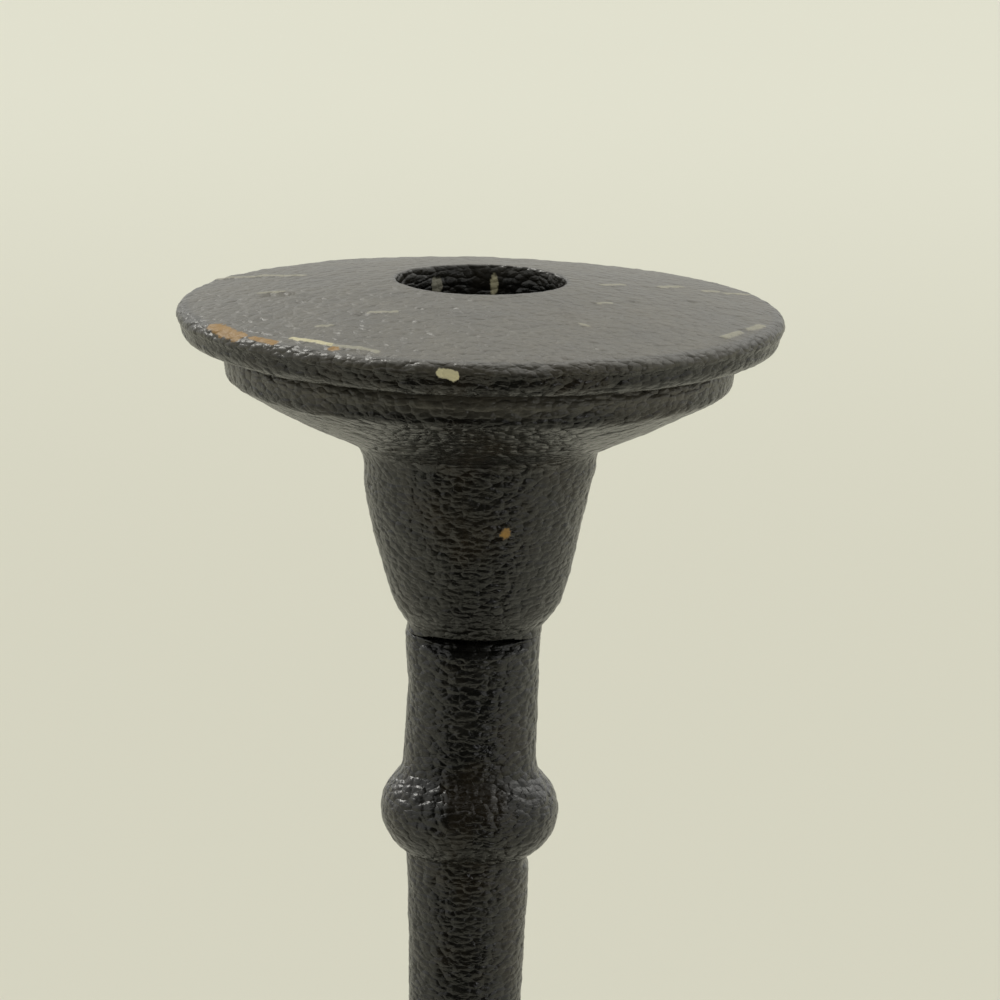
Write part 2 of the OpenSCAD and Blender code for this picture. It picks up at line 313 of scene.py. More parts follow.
class TurningTree:
    """Geometry Nodes tree that turns an outline about the Z axis and gives it relief."""

    INPUTS = (
        ("Columns", "NodeSocketInt", 64),
        ("Lump", "NodeSocketFloat", 0.0),
        ("Lump Size", "NodeSocketFloat", 0.01),
        ("Ripple", "NodeSocketFloat", 0.0),
        ("Ripple Size", "NodeSocketFloat", 0.003),
        ("Grain", "NodeSocketFloat", 0.0),
        ("Grain Size", "NodeSocketFloat", 0.001),
        ("Flatness", "NodeSocketFloat", 1.0),
        ("Seed", "NodeSocketFloat", 0.0),
        ("Flats", "NodeSocketFloat", 0.0),
        ("Pitch", "NodeSocketFloat", 0.001),
        ("Thread", "NodeSocketFloat", 0.0),
        ("Material", "NodeSocketMaterial", None),
    )

    def __init__(self) -> None:
        """Builds the tree once; each piece then sets its inputs."""
        self.tree = bpy.data.node_groups.new("turning", "GeometryNodeTree")
        face = self.tree.interface
        face.new_socket("Geometry", in_out="INPUT", socket_type="NodeSocketGeometry")
        for name, kind, value in self.INPUTS:
            socket = face.new_socket(name, in_out="INPUT", socket_type=kind)
            if value is not None:
                socket.default_value = value
        face.new_socket("Geometry", in_out="OUTPUT", socket_type="NodeSocketGeometry")
        self._turn()

    def _math(self, operation: str, a, b=0.0) -> bpy.types.NodeSocket:
        """Output of one step of arithmetic on two values or sockets."""
        return add(self.tree, "ShaderNodeMath", {0: a, 1: b}, operation=operation).outputs[0]

    def _position(self) -> bpy.types.NodeSocket:
        """Output that gives each point's place."""
        return self.tree.nodes.new("GeometryNodeInputPosition").outputs[0]

    def _skin(self) -> bpy.types.NodeSocket:
        """Output that gives the outline's skin, roughness first."""
        named = {"Name": "skin"}
        return add(self.tree, "GeometryNodeInputNamedAttribute", named, data_type="FLOAT_VECTOR").outputs[0]

    def _turn(self) -> None:
        """Fills the tree: a grid rolled up on the outline's points, moved out by its relief."""
        t = self.tree
        given = t.nodes.new("NodeGroupInput").outputs
        count = add(t, "GeometryNodeAttributeDomainSize", {"Geometry": given["Geometry"]}).outputs["Point Count"]
        grid = add(t, "GeometryNodeMeshGrid", {
            "Size X": 1.0, "Size Y": 1.0,
            "Vertices X": self._math("ADD", given["Columns"], 1), "Vertices Y": count,
        })
        here = add(t, "ShaderNodeSeparateXYZ", {0: self._position()})
        turn = self._math("MULTIPLY", self._math("ADD", here.outputs["X"], 0.5), math.tau)
        row = self._math("MULTIPLY", self._math("ADD", here.outputs["Y"], 0.5), self._math("SUBTRACT", count, 1))
        row = self._math("ROUND", row)
        point, skin = (
            add(t, "GeometryNodeSampleIndex", {"Geometry": given["Geometry"], "Value": value, "Index": row},
                data_type="FLOAT_VECTOR", domain="POINT").outputs[0]
            for value in (self._position(), self._skin())
        )
        at = add(t, "ShaderNodeSeparateXYZ", {0: point}).outputs
        rough = add(t, "ShaderNodeSeparateXYZ", {0: skin}).outputs["X"]
        radius = self._flattened(self._threaded(at["X"], at["Z"], turn, rough, given), turn, given)
        place = add(t, "ShaderNodeCombineXYZ", {
            "X": self._math("MULTIPLY", radius, self._math("SINE", turn)),
            "Y": self._math("MULTIPLY", radius, self._math("COSINE", turn)),
            "Z": at["Z"],
        })
        stored = add(t, "GeometryNodeStoreNamedAttribute", {
            "Geometry": grid.outputs["Mesh"], "Name": "skin", "Value": skin,
        }, data_type="FLOAT_VECTOR", domain="POINT")
        rolled = add(t, "GeometryNodeSetPosition", {"Geometry": stored.outputs[0], "Position": place.outputs[0]})
        welded = add(t, "GeometryNodeMergeByDistance", {"Geometry": rolled.outputs[0], "Distance": 1e-6})
        moved = add(t, "GeometryNodeSetPosition", {"Geometry": welded.outputs[0], "Offset": self._offset(given)})
        smooth = add(t, "GeometryNodeSetShadeSmooth", {"Geometry": moved.outputs[0]})
        real = add(t, "GeometryNodeRealizeInstances", {"Geometry": smooth.outputs[0]})
        dressed = add(t, "GeometryNodeSetMaterial", {"Geometry": real.outputs[0], "Material": given["Material"]})
        t.links.new(dressed.outputs[0], t.nodes.new("NodeGroupOutput").inputs[0])

    def _threaded(self, radius, height, turn, rough, given) -> bpy.types.NodeSocket:
        """Radius with the thread's grooves cut in where the outline's roughness asks for them."""
        turns = self._math("DIVIDE", turn, math.tau)
        along = self._math("SUBTRACT", self._math("DIVIDE", height, given["Pitch"]), turns)
        groove = self._math("MULTIPLY", self._math("PINGPONG", along, 0.5), 2.0)
        depth = self._math("MULTIPLY", self._math("MULTIPLY", groove, given["Thread"]), rough)
        return self._math("SUBTRACT", radius, depth)

    def _flattened(self, radius, turn, given) -> bpy.types.NodeSocket:
        """Radius held inside a hexagon where the piece has flats."""
        sixth = math.tau / 6
        within = self._math("SUBTRACT", self._math("MODULO", turn, sixth), sixth / 2)
        flat = self._math("DIVIDE", given["Flats"], self._math("COSINE", within))
        has_flats = self._math("GREATER_THAN", given["Flats"], 0.0)
        held = self._math("MINIMUM", radius, flat)
        return add(self.tree, "ShaderNodeMix", {0: has_flats, 2: radius, 3: held}, data_type="FLOAT").outputs[0]

    def _offset(self, given) -> bpy.types.NodeSocket:
        """Offset along the normal: the sum of three noises, times the outline's roughness."""
        t = self.tree
        here = self._position()
        flat = add(t, "ShaderNodeCombineXYZ", {"X": 1.0, "Y": 1.0, "Z": given["Flatness"]})
        squeezed = add(t, "ShaderNodeVectorMath", {0: here, 1: flat.outputs[0]}, operation="MULTIPLY").outputs[0]
        total = None
        for name, where, detail in (("Lump", here, 1.0), ("Ripple", squeezed, 2.0), ("Grain", squeezed, 1.0)):
            scale = self._math("DIVIDE", 1.0, given[f"{name} Size"])
            noise = add(t, "ShaderNodeTexNoise", {
                "Vector": where, "W": given["Seed"], "Scale": scale, "Detail": detail,
            }, noise_dimensions="4D")
            swing = self._math("MULTIPLY", self._math("SUBTRACT", noise.outputs[0], 0.5), 2.0)
            part = self._math("MULTIPLY", swing, given[name])
            total = part if total is None else self._math("ADD", total, part)
        rough = add(t, "ShaderNodeSeparateXYZ", {0: self._skin()}).outputs["X"]
        amount = self._math("MULTIPLY", total, rough)
        normal = t.nodes.new("GeometryNodeInputNormal").outputs[0]
        return add(t, "ShaderNodeVectorMath", {0: normal, "Scale": amount}, operation="SCALE").outputs[0]

    def turn(self, name: str, outline: Outline, section: Section, material: bpy.types.Material) -> bpy.types.Object:
        """Turns an outline into a plain mesh object.

        Args:
            name: Name of the piece.
            outline: Outline to turn, in millimetres.
            section: Columns, relief, thread and flats.
            material: Finish of the piece.

        Returns:
            The object, with its place in its mesh.
        """
        line = bpy.data.meshes.new(name)
        line.from_pydata([(r * MM, 0, z * MM) for r, z in outline.points], [], [])
        skin = line.attributes.new("skin", "FLOAT_VECTOR", "POINT")
        skin.data.foreach_set("vector", [value for rough, dust_and_highlight in outline.skin for value in (rough, dust_and_highlight, 0)])
        piece = bpy.data.objects.new(name, line)
        bpy.context.scene.collection.objects.link(piece)
        modifier = piece.modifiers.new("turning", "NODES")
        modifier.node_group = self.tree
        relief = section.relief or Relief(lump=0, ripple=0, grain=0)
        values = {
            "Columns": section.columns, "Lump": relief.lump * MM, "Lump Size": relief.lump_size * MM,
            "Ripple": relief.ripple * MM, "Ripple Size": relief.ripple_size * MM,
            "Grain": relief.grain * MM, "Grain Size": relief.grain_size * MM,
            "Flatness": relief.flatness, "Seed": relief.seed, "Flats": section.flats * MM / 2,
            "Pitch": (section.pitch or 1.0) * MM, "Thread": section.thread * MM, "Material": material,
        }
        for item in self.tree.interface.items_tree:
            if item.in_out == "INPUT" and item.name in values:
                modifier[item.identifier] = values[item.name]
        graph = bpy.context.evaluated_depsgraph_get()
        mesh = bpy.data.meshes.new_from_object(piece.evaluated_get(graph), depsgraph=graph)
        piece.modifiers.remove(modifier)
        piece.data = mesh
        bpy.data.meshes.remove(line)
        mesh.name = name
        if signed_volume(mesh) < 0:
            mesh.flip_normals()
        return piece


def knock(piece: bpy.types.Object, dents: list[Dent], scars: list[Scar]) -> None:
    """Presses dents into a piece, raises or sinks its scars, and notes where the paint is knocked through and where
    pale ridges carry a painted glint.

    Args:
        piece: Piece whose mesh is changed.
        dents: Hollows and swellings, pressed one after another.
        scars: Scratches, pits, chips, stains and pale ridges whose pale tint is partly a painted glint.
    """
    mesh = piece.data
    worn_and_glint = np.zeros((len(mesh.vertices), 3))
    normals = np.empty(len(mesh.vertices) * 3)
    places = places_of(mesh) / MM
    for scar in scars:
        if scar.tint is not None:
            shown = scar.reach(places) * scar.strength
            worn_and_glint[:, scar.tint.value] = np.maximum(worn_and_glint[:, scar.tint.value], shown)
    for blow in (*dents, *scars):
        mesh.vertices.foreach_get("normal", normals)
        outward = normals.reshape(-1, 3)
        if isinstance(blow, Dent):
            places = blow.press(places, outward)
        else:
            places = places + outward * (blow.reach(places) * blow.rise)[:, None]
        mesh.vertices.foreach_set("co", (places * MM).ravel())
        mesh.update()
    mesh.attributes.new("worn_and_glint", "FLOAT_VECTOR", "POINT").data.foreach_set("vector", worn_and_glint.ravel())


def settle(piece: bpy.types.Object, slot: Slot, *nodes: str) -> None:
    """Makes a finished piece ride on the candlestick, in place of its CAD nodes."""
    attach(piece, BODY)
    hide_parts(*nodes)
    log.info("%s: %d faces", piece.name, len(piece.data.polygons))


class Shader:
    """A material under construction, with short ways to its usual nodes."""

    def __init__(self, name: str) -> None:
        """Makes the material with a Principled shader and an output."""
        self.material = bpy.data.materials.new(name)
        self.material.use_nodes = True
        self.tree = self.material.node_tree
        self.tree.nodes.clear()
        self.surface = add(self.tree, "ShaderNodeBsdfPrincipled")
        self.out = add(self.tree, "ShaderNodeOutputMaterial", {"Surface": self.surface.outputs[0]})
        self.coords = add(self.tree, "ShaderNodeTexCoord")
        self.place = self.coords.outputs["Object"]

    def math(self, operation: str, a, b=0.0, c=0.0, clamp: bool = False) -> bpy.types.NodeSocket:
        """Output of one step of arithmetic."""
        node = add(self.tree, "ShaderNodeMath", {0: a, 1: b, 2: c}, operation=operation, use_clamp=clamp)
        return node.outputs[0]

    def vector(self, operation: str, a, b) -> bpy.types.NodeSocket:
        """Output of one step of vector arithmetic."""
        return add(self.tree, "ShaderNodeVectorMath", {0: a, 1: b}, operation=operation).outputs[0]

    def parts(self, name: str) -> bpy.types.NodeOutputs:
        """The three parts of one of the piece's own attributes."""
        named = add(self.tree, "ShaderNodeAttribute", attribute_name=name, attribute_type="GEOMETRY")
        return add(self.tree, "ShaderNodeSeparateXYZ", {0: named.outputs["Vector"]}).outputs

    def noise(self, size: float, detail: float = 2.0, rough: float = 0.5, where=None, shift: float = 0.0,
              warp: float = 0.0, colour: bool = False) -> bpy.types.NodeSocket:
        """Noise from 0 to 1 whose features are about a size in millimetres."""
        node = add(self.tree, "ShaderNodeTexNoise", {
            "Vector": where or self.place, "W": shift, "Scale": 1 / (size * MM), "Detail": detail,
            "Roughness": rough, "Distortion": warp,
        }, noise_dimensions="4D")
        return node.outputs["Color" if colour else 0]

    def cells(self, size: float, where=None) -> bpy.types.NodeSocket:
        """Distance to the nearest of points about a size in millimetres apart, in that size."""
        return add(self.tree, "ShaderNodeTexVoronoi", {
            "Vector": where or self.place, "Scale": 1 / (size * MM),
        }).outputs["Distance"]

    def ramp(self, value, low: float, high: float) -> bpy.types.NodeSocket:
        """Value eased from 0 at a low mark to 1 at a high mark."""
        return add(self.tree, "ShaderNodeMapRange", {
            "Value": value, "From Min": low, "From Max": high,
        }, interpolation_type="SMOOTHSTEP").outputs[0]

    def mix(self, share, a, b) -> bpy.types.NodeSocket:
        """Colour mixed from a to b."""
        return add(self.tree, "ShaderNodeMix", {0: share, 6: a, 7: b}, data_type="RGBA").outputs[2]

    def set(self, **values) -> None:
        """Sets or links inputs of the Principled shader; an underscore stands for a space."""
        for name, value in values.items():
            socket = self.surface.inputs[name.replace("_", " ")]
            if isinstance(value, bpy.types.NodeSocket):
                self.tree.links.new(value, socket)
            else:
                socket.default_value = value

    def bump(self, height) -> None:
        """Uses a height in millimetres as the surface's fine relief."""
        node = add(self.tree, "ShaderNodeBump", {"Height": height, "Distance": MM, "Strength": 1.0})
        self.tree.links.new(node.outputs[0], self.surface.inputs["Normal"])


@dataclass(frozen=True)
class PaintedIron:
    """Thick black paint, brushed over a sand casting.

    It gives the eye a near black body with a broken satin sheen on leathery ripples, dust on what
    faces up, partly a painted highlight on the head's step shoulder, and iron, old primer and rust
    where the paint is knocked off, the pale colour on raised ridges partly a painted glint.
    """

    black: str = "#0c0c0a"
    soft_black: str = "#1a1915"
    brown: str = "#231c10"
    # Dust colour, also standing for a painted highlight on the head's step shoulder.
    dust_and_highlight: str = "#6a665b"
    primer: str = "#c2bb98"
    rust: str = "#8f6c2f"
    # Pale grey of raised ridges, partly a painted glint.
    pale_and_glint: str = "#8f8c7c"
    roughness: float = 0.27
    dusty_roughness: float = 0.5
    blister_mm: float = 1.35
    ripple_mm: float = 2.3
    grain_mm: float = 0.5

    def _height(self, s: Shader) -> bpy.types.NodeSocket:
        """Height of the paint in millimetres: blisters, ripples and grain, drawn out round the piece."""
        flat = s.vector("MULTIPLY", s.place, (1.0, 1.0, 1.8))
        stir = s.vector("MULTIPLY", s.noise(1.6, 1, colour=True, shift=7.0), (MM, MM, MM))
        domes = s.cells(self.blister_mm, s.vector("ADD", flat, stir))
        domes = s.math("MULTIPLY", domes, domes)
        height = s.math("MULTIPLY", domes, -0.30)
        height = s.math("MULTIPLY_ADD", s.noise(self.ripple_mm, 3, 0.55, flat, 1.0, 0.5), 0.34, height)
        height = s.math("MULTIPLY_ADD", s.noise(self.grain_mm, 2, 0.6, flat, 2.0), 0.07, height)
        pits = s.math("MULTIPLY", s.ramp(s.cells(2.2), 0.20, 0.06), s.ramp(s.noise(6.0, 2, shift=4.0), 0.5, 0.6))
        return s.math("MULTIPLY_ADD", pits, -0.10, height)

    def material(self, name: str) -> bpy.types.Material:
        """Builds the finish.

        Args:
            name: Name of the material.

        Returns:
            The material.
        """
        s = Shader(name)
        patch = s.noise(8.0, 3, 0.6, shift=3.0)
        speckle = s.noise(0.8, 3, 0.7, shift=5.0)
        colour = s.mix(s.ramp(patch, 0.38, 0.68), linear(self.black), linear(self.soft_black))
        stain = s.math("MULTIPLY", s.ramp(s.noise(13.0, 4, 0.65, shift=8.0), 0.48, 0.66), 0.7)
        colour = s.mix(stain, colour, linear(self.brown))
        # Dust share from the skin; on the head's step shoulder it is partly a painted highlight.
        dust_and_highlight = s.math("MULTIPLY", s.parts("skin")["Y"], s.math("MULTIPLY_ADD", patch, 0.7, 0.35))
        dust_and_highlight = s.math("MULTIPLY", dust_and_highlight, s.math("MULTIPLY_ADD", speckle, 1.1, 0.3), clamp=True)
        colour = s.mix(dust_and_highlight, colour, linear(self.dust_and_highlight))
        rough = s.math("MULTIPLY_ADD", patch, 0.12, self.roughness - 0.06)
        rough = s.math("MULTIPLY_ADD", dust_and_highlight, self.dusty_roughness - self.roughness, rough)
        ragged = s.math("MULTIPLY_ADD", s.noise(0.9, 4, 0.7, shift=9.0), 1.1, -0.55)
        worn_and_glint = s.parts("worn_and_glint")
        # Wear colours; the pale one also paints glints on raised ridges.
        for tint, code in ((Tint.PALE_AND_GLINT, self.pale_and_glint), (Tint.RUST, self.rust), (Tint.PRIMER, self.primer)):
            share = s.ramp(s.math("ADD", worn_and_glint[tint.value], ragged), 0.3, 0.55)
            share = s.math("MULTIPLY", share, s.ramp(worn_and_glint[tint.value], 0.0, 0.12))
            colour = s.mix(share, colour, linear(code))
            rough = s.math("MULTIPLY_ADD", share, 0.2, rough)
        s.set(Base_Color=colour, Roughness=rough)
        s.surface.inputs["IOR"].default_value = 1.5
        s.bump(self._height(s))
        return s.material


@dataclass(frozen=True)
class ZincSteel:
    """Bright zinc plate on steel fasteners, gone dull: grey with a faint cloudy tint."""

    plate: str = "#a3a4a2"
    cloud: str = "#84857f"
    roughness: float = 0.38

    def material(self, name: str) -> bpy.types.Material:
        """Builds the finish."""
        s = Shader(name)
        cloud = s.noise(2.5, 3, 0.6)
        s.set(Base_Color=s.mix(s.ramp(cloud, 0.35, 0.65), linear(self.plate), linear(self.cloud)),
              Roughness=s.math("MULTIPLY_ADD", cloud, 0.2, self.roughness - 0.1))
        s.surface.inputs["Metallic"].default_value = 1.0
        s.bump(s.math("MULTIPLY", s.noise(0.25, 2, 0.6), 0.01))
        return s.material


@dataclass(frozen=True)
class WoolFelt:
    """Pressed wool felt: matt dark green, with short fibres lying all ways."""

    wool: str = "#1f3126"
    fibre: str = "#3c5244"

    def material(self, name: str) -> bpy.types.Material:
        """Builds the finish."""
        s = Shader(name)
        strand = s.noise(0.35, 4, 0.7, warp=2.5)
        s.set(Base_Color=s.mix(s.ramp(strand, 0.4, 0.7), linear(self.wool), linear(self.fibre)), Roughness=0.95)
        s.surface.inputs["Sheen Weight"].default_value = 0.3
        s.surface.inputs["Sheen Roughness"].default_value = 0.5
        s.bump(s.math("MULTIPLY", strand, 0.12))
        return s.material


@dataclass
class Head:
    """Drip pan and candle cup in one casting, tapped from below for the tie rod."""

    pan_r: float = 39.6
    pan_fall: float = 3.6
    pan_crown: float = 0.2
    rim_h: float = 4.5
    rim_edge: float = 1.4
    rim_round: float = 2.2
    rim_lean: float = 0.5
    step_r: float = 33.4
    step_h: float = 4.8
    step_round: float = 2.4
    step_edge: float = 1.5
    step_lean: float = 0.2
    flare_bulge: float = 0.25
    flare_turn: float = 28.0
    fillet: float = 3.0
    cup_lean: float = 8.0
    cup_top_r: float = 15.4
    cup_top_h: float = 23.5
    cup_bulge: float = 0.38
    cup_low_r: float = 11.5
    cup_round: float = 10.0
    low_lean: float = 16.0
    foot_r: float = 9.0
    foot_h: float = 1.0
    socket_r: float = 11.1
    socket_depth: float = 27.0
    lip: float = 0.35
    recess_r: float = 6.15
    recess_h: float = 3.3
    tapped_r: float = 4.05
    tapped_h: float = 10.0
    top_h: float = 46.8
    columns: int = 450

    def outline(self) -> Outline:
        """Outline from the tapped hole, down and round the outside to the socket's floor."""
        rim_top_z = self.top_h - self.pan_fall
        rim_low_z = rim_top_z - self.rim_h
        step_low_z = rim_low_z - self.step_h
        rim_low_r = self.pan_r - self.rim_lean
        low_x = self.cup_low_r - self.cup_round * math.cos(math.radians(self.low_lean))
        low_angle = math.degrees(math.acos((self.foot_r - low_x) / self.cup_round))
        low_z = self.foot_h + self.cup_round * math.sin(math.radians(low_angle))
        lean = math.radians(self.cup_lean)
        fillet_x = self.cup_top_r + self.fillet * math.cos(lean)
        fillet_z = self.cup_top_h - self.fillet * math.sin(lean)
        edge_x = self.step_r - self.step_lean - self.step_edge
        edge_z = step_low_z + self.step_edge * math.tan(math.radians(90 - self.flare_turn) / 2)
        edge_a = math.radians(self.flare_turn - 90)
        slope = math.degrees(math.atan(self.pan_fall / (self.pan_r - self.socket_r)))
        o = Outline(0, self.recess_h + self.tapped_h)
        o.line(self.tapped_r, self.recess_h + self.tapped_h, 2, 0)
        o.line(self.tapped_r, self.recess_h, 3, 0)
        o.line(self.recess_r, self.recess_h, 1, 0)
        o.line(self.recess_r, 0, 1, 0)
        o.line(self.foot_r, 0, 1, 0)
        o.line(self.foot_r, self.foot_h, 0.35, 0.4)
        o.arc(low_x, low_z, self.cup_round, -low_angle, -self.low_lean, 0.4)
        o.bow(self.cup_top_r, self.cup_top_h, self.cup_bulge, 0.45)
        o.arc(fillet_x, fillet_z, self.fillet, 180 - self.cup_lean, 90 + self.flare_turn, 0.4)
        o.bow(edge_x + self.step_edge * math.cos(edge_a), edge_z + self.step_edge * math.sin(edge_a),
              self.flare_bulge, 0.52)
        o.arc(edge_x, edge_z, self.step_edge, self.flare_turn - 90, 0, 0.3)
        # Step shoulder: the dust here is partly a painted highlight, lighter where the shoulder catches reflected
        # light.
        o.arc(self.step_r - self.step_round, rim_low_z - self.step_round, self.step_round, 0, 90, 0.32, 1, 0.55)
        o.line(rim_low_r - self.rim_round, rim_low_z, 0.9)
        o.arc(rim_low_r - self.rim_round, rim_low_z + self.rim_round, self.rim_round, -90, 0, 0.32)
        o.line(self.pan_r, rim_top_z - self.rim_edge, 0.35)
        o.arc(self.pan_r - self.rim_edge, rim_top_z - self.rim_edge, self.rim_edge, 0, 90 - slope, 0.28, 1, 0.5)
        o.bow(self.socket_r + self.lip, self.top_h, self.pan_crown, 0.68, 0.8, 1)
        o.arc(self.socket_r + self.lip, self.top_h - self.lip, self.lip, 90, 180, 0.18, 0.6, 0.3)
        o.line(self.socket_r, self.top_h - self.socket_depth, 2.2, 0.6)
        return o.line(0, self.top_h - self.socket_depth, 2.5, 0.5, 0.5)

    def dents(self, z: float) -> list[Dent]:
        """Knocks and swellings of the pan and the cup, with the head's foot at height z."""
        rim_z = z + self.top_h - self.pan_fall
        notches = [
            Dent(self.pan_r, azimuth, rim_z - 1.7, 0.55, 1.3, 1.2, depth)
            for azimuth, depth in ((14.5, 0.2), (16.8, 0.3), (18.6, 0.35), (20.7, 0.3), (22.5, 0.35), (24.8, 0.2))
        ]
        return notches + [
            Dent(self.pan_r, -6, rim_z - 1.2, 1.2, 0.9, 1.2, 0.4, 1.5),
            Dent(self.pan_r, 8, rim_z - 0.2, 3.5, 0.9, 1.4, 0.35),
            Dent(self.pan_r, 12, rim_z, 0.8, 0.8, 1.6, 0.4),
            Dent(self.pan_r, -38, rim_z - 0.8, 2.5, 0.8, 1.4, 0.3),
            Dent(self.pan_r, -70, rim_z - 2.0, 3.0, 1.2, 2.0, -0.25),
            Dent(self.pan_r, 66, rim_z - 0.2, 2.5, 0.8, 1.4, -0.3),
            Dent(12, -90, z + 8.0, 9, 5.0, 6, 0.35),
            Dent(11, -90, z + 2.5, 9, 3.0, 6, 0.35),
            Dent(15, -90, z + 22.5, 8, 2.0, 4, 0.35),
            Dent(12, 90, z + 6.5, 9, 5.0, 6, -0.28),
            Dent(15, 90, z + 22.5, 8, 2.0, 4, -0.3),
            Dent(9, 0, z + 0.1, 7.4, 0.5, 1.5, 0.8, 2.5),
        ]

    def scars(self, z: float) -> list[Scar]:
        """Scratches, pits, chips, stains and pale ridges of the pan, the ridges' pale tint partly a painted glint, with
        the head's foot at height z.
        """
        top = z + self.top_h

        def on_pan(radius: float, azimuth: float) -> tuple[float, float, float]:
            """Place on the pan's sloping top."""
            return radius, azimuth, top - self.pan_fall * (radius - self.socket_r) / (self.pan_r - self.socket_r)

        def scratch(width: float, rise: float, tint: Tint | None, *stops: tuple[float, float]) -> list[Scar]:
            """Scars from stop to stop along the pan's top."""
            ends = [on_pan(*stop) for stop in stops]
            return [Scar(a, b, width, rise, tint, 0.8) for a, b in zip(ends, ends[1:] or ends)]

        front = top - self.pan_fall - 1.3
        return [
            # Pale raised ridges and bright bumps: their pale tint is partly dust, partly a painted glint.
            *scratch(0.9, 0.16, Tint.PALE_AND_GLINT, (38.7, -114.4), (36.7, -114.3), (31.9, -114.5), (25.2, -110.8)),
            *scratch(0.9, 0.2, Tint.PALE_AND_GLINT, (28.6, -85.0), (26.0, -82.5)),
            *scratch(1.0, -0.3, None, (28.2, -81.0), (25.2, -77.5)),
            *scratch(0.7, -0.12, None, (25.2, -77.5), (23.9, -72.0)),
            *scratch(0.9, -0.3, None, (25.1, -65.6)),
            *scratch(0.9, -0.3, None, (24.4, -38.5)),
            *scratch(0.7, 0.15, Tint.PALE_AND_GLINT, (23.2, -37.0), (21.8, -29.6)),
            *scratch(0.7, 0.12, Tint.PALE_AND_GLINT, (30.8, -41.2), (29.9, -38.9)),
            *scratch(0.75, 0.12, Tint.PRIMER, (35.9, -40.7), (36.1, -37.0), (35.9, -34.0), (36.2, -30.8)),
            *scratch(0.75, 0.12, Tint.PALE_AND_GLINT, (36.2, -30.8), (36.2, -27.4), (35.9, -24.3), (36.7, -19.9)),
            *scratch(1.7, 0.0, Tint.RUST, (38.2, -60.9), (38.5, -55.9), (38.6, -51.5)),
            *scratch(1.0, 0.0, Tint.RUST, (38.2, -48.0), (38.3, -42.0)),
            *scratch(1.2, 0.0, Tint.RUST, (37.2, -29.0)),
            *scratch(0.8, 0.12, Tint.PALE_AND_GLINT, (15.9, 91.7), (18.8, 99.2)),
            *scratch(0.9, 0.16, Tint.PALE_AND_GLINT, (24.1, 102.8), (27.8, 109.4)),
            *scratch(0.8, 0.12, Tint.PALE_AND_GLINT, (30.4, 105.5), (33.0, 108.3)),
            *scratch(0.8, 0.12, Tint.PALE_AND_GLINT, (33.9, 106.6), (37.5, 109.5)),
            *scratch(0.8, -0.25, None, (21.0, 67.5)),
            *scratch(0.8, -0.25, None, (27.5, 85.4)),
            *scratch(0.9, -0.25, None, (21.0, 30.1), (23.1, 29.2)),
            *scratch(0.6, 0.1, Tint.PALE_AND_GLINT, (18.6, 52.9), (19.5, 57.9)),
            *scratch(0.6, 0.1, Tint.PALE_AND_GLINT, (25.2, 29.7), (26.0, 31.3)),
            *scratch(0.9, 0.25, Tint.PALE_AND_GLINT, (36.6, 57.0), (36.6, 64.0)),
            *scratch(0.9, 0.2, Tint.PALE_AND_GLINT, (37.0, 68.0), (37.5, 73.5)),
            Scar((39.5, -6.6, front), (39.5, -4.6, front - 0.3), 1.05, -0.15, Tint.PRIMER),
            Scar((14.1, 15.6, top - 30.6), (14.1, 15.6, top - 30.6), 1.2, 0.0, Tint.RUST, 0.7),
            Scar((11.1, 171.2, top - 2.8), (11.1, 171.2, top - 2.8), 0.8, 0.0, Tint.PRIMER),
            Scar((11.1, -150.0, top - 2.8), (11.1, -146.5, top - 2.7), 0.7, 0.0, Tint.PALE_AND_GLINT),
        ]

    def build(self, turning: TurningTree, material: bpy.types.Material) -> bpy.types.Object:
        """Makes the head and dresses it."""
        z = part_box("head")[0].z / MM
        section = Section(self.columns, Relief(seed=3.0))
        piece = turning.turn("drip_pan_and_cup", self.outline().lifted(z), section, material)
        knock(piece, self.dents(z), self.scars(z))
        settle(piece, Slot.IRON, "head")
        return piece


